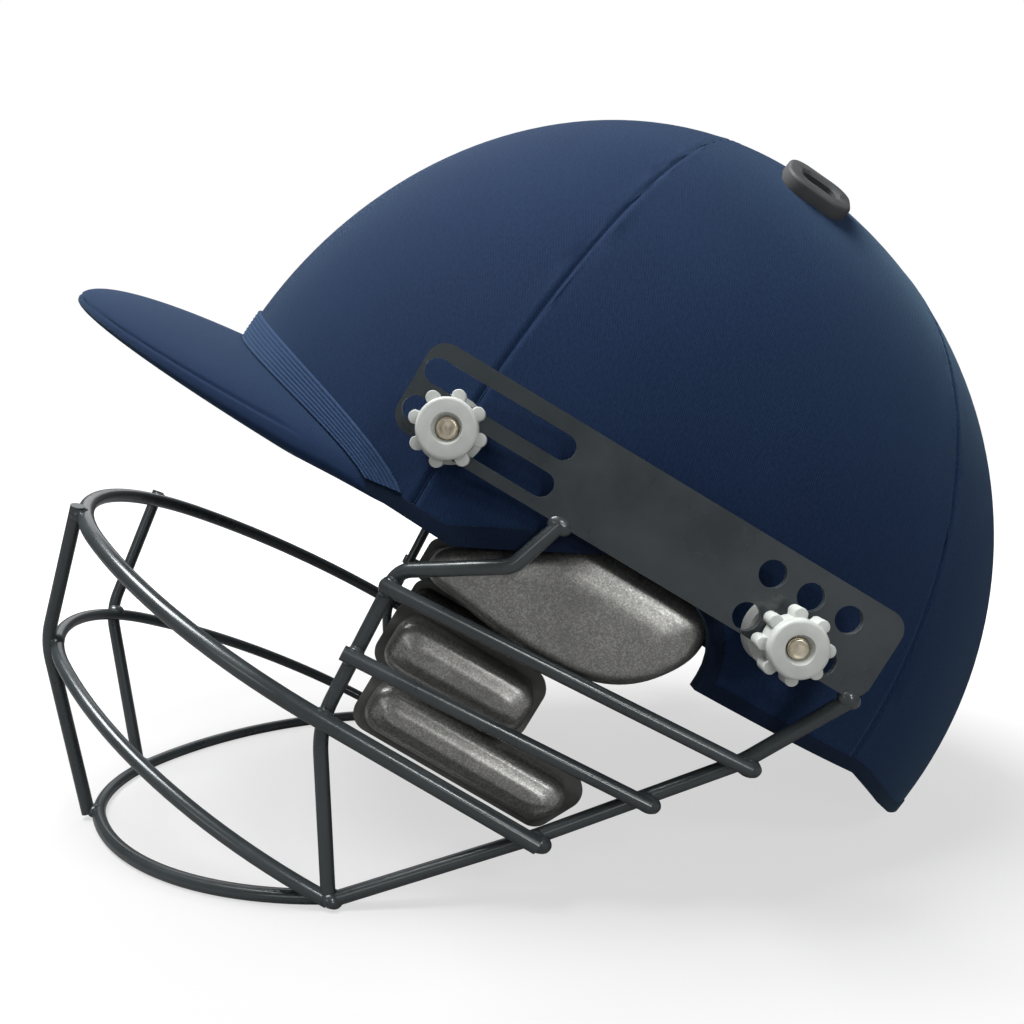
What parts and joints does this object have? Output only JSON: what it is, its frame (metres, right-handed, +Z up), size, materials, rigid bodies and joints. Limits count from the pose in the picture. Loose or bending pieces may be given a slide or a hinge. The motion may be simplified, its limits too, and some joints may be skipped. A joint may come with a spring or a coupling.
{
  "type": "batting helmet with face guard",
  "caption": "Cloth-covered sports batting helmet with a padded peak, crown vents, moulded ear and cheek pads, and a wire face guard held by side plates and hand-turned knobs.",
  "frame": {"origin": "centre of the footprint box, on the surface that the helmet rests on", "axes": "+Z up, the peak and the guard's front point to -Y, the wearer's left side is +X; the helmet is stored as it rests, tipped back 31 degrees onto the guard's lower bar and the nape"},
  "size_m": [0.2146, 0.316, 0.2281],
  "materials": {
    "navy_cloth": "fine knit cloth stretched over the shell",
    "navy_binding": "folded cloth edge",
    "ribbed_band": "finely ribbed elastic strip",
    "shell_plastic": "moulded shell",
    "foam": "light impact foam",
    "comfort_pad": "brushed lining on soft foam",
    "webbing": "woven tape",
    "cup_leather": "soft cup",
    "dark_plastic": "moulded",
    "silver_pad": "moulded pad with a metallic silver skin",
    "vent_rubber": "moulded ring",
    "white_plastic": "moulded off-white",
    "insert_brass": "turned",
    "bolt_brass": "turned, dull",
    "washer_steel": "plain",
    "grey_steel": "satin powder coat"
  },
  "bodies": {
    "helmet": {"bolt_spacers": "white_plastic", "brow_pad": "comfort_pad", "cheek_carrier_left": "dark_plastic", "cheek_carrier_right": "dark_plastic", "cheek_foam_left": "foam", "cheek_foam_right": "foam", "chin_cup": "cup_leather", "chin_strap": "webbing", "cover_front": "navy_cloth", "cover_left": "navy_cloth", "cover_rear": "navy_cloth", "cover_right": "navy_cloth", "crown_pad": "comfort_pad", "ear_pad_left": "silver_pad", "ear_pad_right": "silver_pad", "forehead_band": "ribbed_band", "front_posts": "grey_steel", "guard_bolts": "bolt_brass", "liner": "foam", "lower_cheek_pad_left": "silver_pad", "lower_cheek_pad_right": "silver_pad", "lower_loop": "grey_steel", "middle_loop": "grey_steel", "nape_pad": "comfort_pad", "peak_binding": "navy_binding", "peak_board": "shell_plastic", "peak_cover_top": "navy_cloth", "peak_cover_under": "navy_cloth", "peak_foam": "foam", "rear_link_left": "grey_steel", "rear_link_right": "grey_steel", "rim_binding": "navy_binding", "shell": "shell_plastic", "side_plate_left": "grey_steel", "side_plate_right": "grey_steel", "side_rails_left": "grey_steel", "side_rails_right": "grey_steel", "strap_tabs": "dark_plastic", "temple_bar_left": "grey_steel", "temple_bar_right": "grey_steel", "temple_pad_left": "comfort_pad", "temple_pad_right": "comfort_pad", "top_loop": "grey_steel", "upper_cheek_pad_left": "silver_pad", "upper_cheek_pad_right": "silver_pad", "vent_grommet_left": "vent_rubber", "vent_grommet_right": "vent_rubber"},
    "front_left_washer": {"front_washer_left": "washer_steel"},
    "front_left_knob": {"front_knob_left": "white_plastic", "front_knob_insert_left": "insert_brass"},
    "rear_left_washer": {"rear_washer_left": "washer_steel"},
    "rear_left_knob": {"rear_knob_left": "white_plastic", "rear_knob_insert_left": "insert_brass"},
    "front_right_washer": {"front_washer_right": "washer_steel"},
    "front_right_knob": {"front_knob_right": "white_plastic", "front_knob_insert_right": "insert_brass"},
    "rear_right_washer": {"rear_washer_right": "washer_steel"},
    "rear_right_knob": {"rear_knob_right": "white_plastic", "rear_knob_insert_right": "insert_brass"}
  },
  "joints": [
    {"name": "front_left_lift", "type": "slide", "parent": "helmet", "child": "front_left_washer", "axis": [0.9994, -0.0299, 0.018], "range_m": [0, 0.0024]},
    {"name": "front_left_turn", "type": "hinge", "parent": "front_left_washer", "child": "front_left_knob", "pos_m": [0.09377, -0.02155, 0.1279], "axis": [0.9994, -0.0299, 0.018], "range_deg": [0, 1080]},
    {"name": "rear_left_lift", "type": "slide", "parent": "helmet", "child": "rear_left_washer", "axis": [0.9994, -0.0299, 0.018], "range_m": [0, 0.0024]},
    {"name": "rear_left_turn", "type": "hinge", "parent": "rear_left_washer", "child": "rear_left_knob", "pos_m": [0.09706, 0.05839, 0.07776], "axis": [0.9994, -0.0299, 0.018], "range_deg": [0, 1080]},
    {"name": "front_right_lift", "type": "slide", "parent": "helmet", "child": "front_right_washer", "axis": [-0.9994, -0.0299, 0.018], "range_m": [0, 0.0024]},
    {"name": "front_right_turn", "type": "hinge", "parent": "front_right_washer", "child": "front_right_knob", "pos_m": [-0.09377, -0.02155, 0.1279], "axis": [-0.9994, -0.0299, 0.018], "range_deg": [0, 1080]},
    {"name": "rear_right_lift", "type": "slide", "parent": "helmet", "child": "rear_right_washer", "axis": [-0.9994, -0.0299, 0.018], "range_m": [0, 0.0024]},
    {"name": "rear_right_turn", "type": "hinge", "parent": "rear_right_washer", "child": "rear_right_knob", "pos_m": [-0.09706, 0.05839, 0.07776], "axis": [-0.9994, -0.0299, 0.018], "range_deg": [0, 1080]}
  ],
  "couplings": [
    {"joint": "front_left_lift", "follows": "front_left_turn", "m_per_rad": 0.00012732},
    {"joint": "rear_left_lift", "follows": "rear_left_turn", "m_per_rad": 0.00012732},
    {"joint": "front_right_lift", "follows": "front_right_turn", "m_per_rad": 0.00012732},
    {"joint": "rear_right_lift", "follows": "rear_right_turn", "m_per_rad": 0.00012732}
  ]
}
